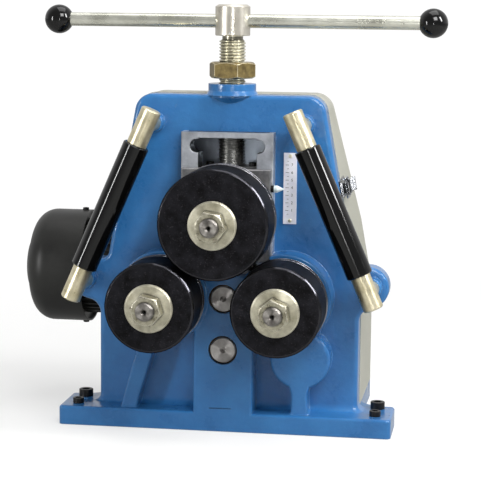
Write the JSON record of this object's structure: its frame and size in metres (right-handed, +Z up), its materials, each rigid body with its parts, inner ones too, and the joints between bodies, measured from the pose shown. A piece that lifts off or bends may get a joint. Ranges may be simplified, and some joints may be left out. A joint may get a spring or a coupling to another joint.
{
  "type": "ring roller",
  "caption": "Motor-driven three-roll bending head with a T-handle feed screw, inclined side guide rolls, a cast frame and a rear gear cover.",
  "frame": {"origin": "underside of the base, where the axis of the feed screw meets it", "axes": "+X to the operator's right, +Y from the rollers into the machine, +Z up along the feed screw"},
  "size_m": [0.4914, 0.3158, 0.467],
  "materials": {
    "blue_paint": "gloss",
    "grey_paint": "satin",
    "motor_black": "satin",
    "black_plastic": "gloss",
    "machined_steel": "machined",
    "ground_steel": "ground",
    "black_oxide": "black oxide",
    "zinc": "zinc plated",
    "yellow_zinc": "yellow zinc plated",
    "black_screws": "satin",
    "bronze": "satin",
    "reducer_alloy": "cast",
    "scale_white": "satin",
    "pointer_white": "satin",
    "chrome_wire": "bright"
  },
  "bodies": {
    "frame": {"frame_casting": "blue_paint", "rear_cover": "grey_paint", "latch_plates": "chrome_wire", "scale_plate": "scale_white", "scale_rivets": "zinc", "guide_bars": "yellow_zinc", "guide_studs": "yellow_zinc", "shaft_bushes": "bronze", "spindle_bearings": "ground_steel", "carrier_plate": "machined_steel", "carrier_spacers": "machined_steel", "carrier_screws": "black_screws", "reducer_housing": "reducer_alloy", "reducer_bolts": "zinc", "motor_body": "motor_black", "fan_cowl": "motor_black", "cowl_screws": "black_screws", "terminal_box": "motor_black", "flange_screws": "black_screws"},
    "lock_nut": {"lock_nut": "yellow_zinc"},
    "guide_roll_left": {"guide_sleeve_left": "black_plastic"},
    "guide_roll_right": {"guide_sleeve_right": "black_plastic"},
    "latch_lever_left": {"latch_lever_left": "chrome_wire"},
    "latch_lever_right": {"latch_lever_right": "chrome_wire"},
    "latch_bail_left": {"latch_bail_left": "chrome_wire"},
    "latch_bail_right": {"latch_bail_right": "chrome_wire"},
    "slide": {"slide_block": "machined_steel", "slide_keepers": "machined_steel", "screw_retainer": "machined_steel", "slide_screws": "black_screws", "slide_bearings": "ground_steel", "pointer_screw": "zinc", "pointer": "pointer_white"},
    "screw": {"feed_screw": "zinc", "handle_hub": "zinc", "hub_pin": "ground_steel"},
    "tee": {"tee_bar": "zinc", "ball_knobs": "black_plastic"},
    "top_roll": {"top_spindle": "ground_steel", "top_key": "machined_steel", "top_roller": "black_oxide", "top_washer": "zinc", "top_nut": "zinc"},
    "low_left_roll": {"low_left_spindle": "ground_steel", "low_left_gear": "ground_steel", "low_left_keys": "machined_steel", "low_left_roller": "black_oxide", "low_left_washer": "zinc", "low_left_nut": "zinc"},
    "low_right_roll": {"low_right_spindle": "ground_steel", "low_right_gear": "ground_steel", "low_right_keys": "machined_steel", "low_right_roller": "black_oxide", "low_right_washer": "zinc", "low_right_nut": "zinc"},
    "idler": {"idler_gear": "ground_steel"},
    "drive": {"drive_pinion": "ground_steel"},
    "rotor": {"motor_rotor": "ground_steel"}
  },
  "joints": [
    {"name": "slide_feed", "type": "slide", "parent": "frame", "child": "slide", "axis": [0, 0, 1], "range_m": [-0.004, 0.028]},
    {"name": "screw_turn", "type": "hinge", "parent": "slide", "child": "screw", "pos_m": [0, 0, 0.449], "axis": [0, 0, 1], "range_deg": [-412, 2881]},
    {"name": "tee_slide", "type": "slide", "parent": "screw", "child": "tee", "axis": [1, 0, 0], "range_m": [-0.18, 0.158]},
    {"name": "top_roll_turn", "type": "hinge", "parent": "slide", "child": "top_roll", "pos_m": [0, -0.051, 0.2386], "axis": [0, 1, 0], "continuous": true},
    {"name": "low_left_turn", "type": "hinge", "parent": "frame", "child": "low_left_roll", "pos_m": [-0.0675, -0.051, 0.1483], "axis": [0, 1, 0], "continuous": true},
    {"name": "low_right_turn", "type": "hinge", "parent": "frame", "child": "low_right_roll", "pos_m": [0.0675, -0.051, 0.1483], "axis": [0, 1, 0], "continuous": true},
    {"name": "idler_turn", "type": "hinge", "parent": "frame", "child": "idler", "pos_m": [0, -0.051, 0.1483], "axis": [0, 1, 0], "continuous": true},
    {"name": "drive_turn", "type": "hinge", "parent": "frame", "child": "drive", "pos_m": [0, -0.051, 0.0913], "axis": [0, 1, 0], "continuous": true},
    {"name": "rotor_turn", "type": "hinge", "parent": "frame", "child": "rotor", "pos_m": [-0.15, 0.098, 0.1573], "axis": [1, 0, 0], "continuous": true},
    {"name": "lock_nut_turn", "type": "hinge", "parent": "frame", "child": "lock_nut", "pos_m": [0, 0, 0.3954], "axis": [0, 0, 1], "range_deg": [-600, 1080]},
    {"name": "guide_roll_left_turn", "type": "hinge", "parent": "frame", "child": "guide_roll_left", "pos_m": [-0.1216, -0.071, 0.24956], "axis": [-0.3991, 0, -0.9169], "continuous": true},
    {"name": "latch_lever_left_turn", "type": "hinge", "parent": "frame", "child": "latch_lever_left", "pos_m": [-0.12774, 0.0175, 0.2681], "axis": [0.1826, 0, 0.9832], "range_deg": [0, 60]},
    {"name": "latch_bail_left_turn", "type": "hinge", "parent": "latch_lever_left", "child": "latch_bail_left", "pos_m": [-0.12833, 0.0235, 0.26821], "axis": [0.1826, 0, 0.9832], "range_deg": [-50, 5]},
    {"name": "guide_roll_right_turn", "type": "hinge", "parent": "frame", "child": "guide_roll_right", "pos_m": [0.1216, -0.071, 0.24956], "axis": [0.3991, 0, -0.9169], "continuous": true},
    {"name": "latch_lever_right_turn", "type": "hinge", "parent": "frame", "child": "latch_lever_right", "pos_m": [0.12774, 0.0175, 0.2681], "axis": [0.1826, 0, -0.9832], "range_deg": [0, 60]},
    {"name": "latch_bail_right_turn", "type": "hinge", "parent": "latch_lever_right", "child": "latch_bail_right", "pos_m": [0.12833, 0.0235, 0.26821], "axis": [0.1826, 0, -0.9832], "range_deg": [-50, 5]}
  ],
  "couplings": [
    {"joint": "screw_turn", "follows": "slide_feed", "rad_per_m": 1795.2},
    {"joint": "low_right_turn", "follows": "low_left_turn", "ratio": 1},
    {"joint": "idler_turn", "follows": "low_left_turn", "ratio": -1.1429},
    {"joint": "drive_turn", "follows": "low_left_turn", "ratio": 1.4118},
    {"joint": "rotor_turn", "follows": "low_left_turn", "ratio": 42.353},
    {"joint": "latch_bail_left_turn", "follows": "latch_lever_left_turn", "ratio": -0.78},
    {"joint": "latch_bail_right_turn", "follows": "latch_lever_right_turn", "ratio": -0.78}
  ]
}
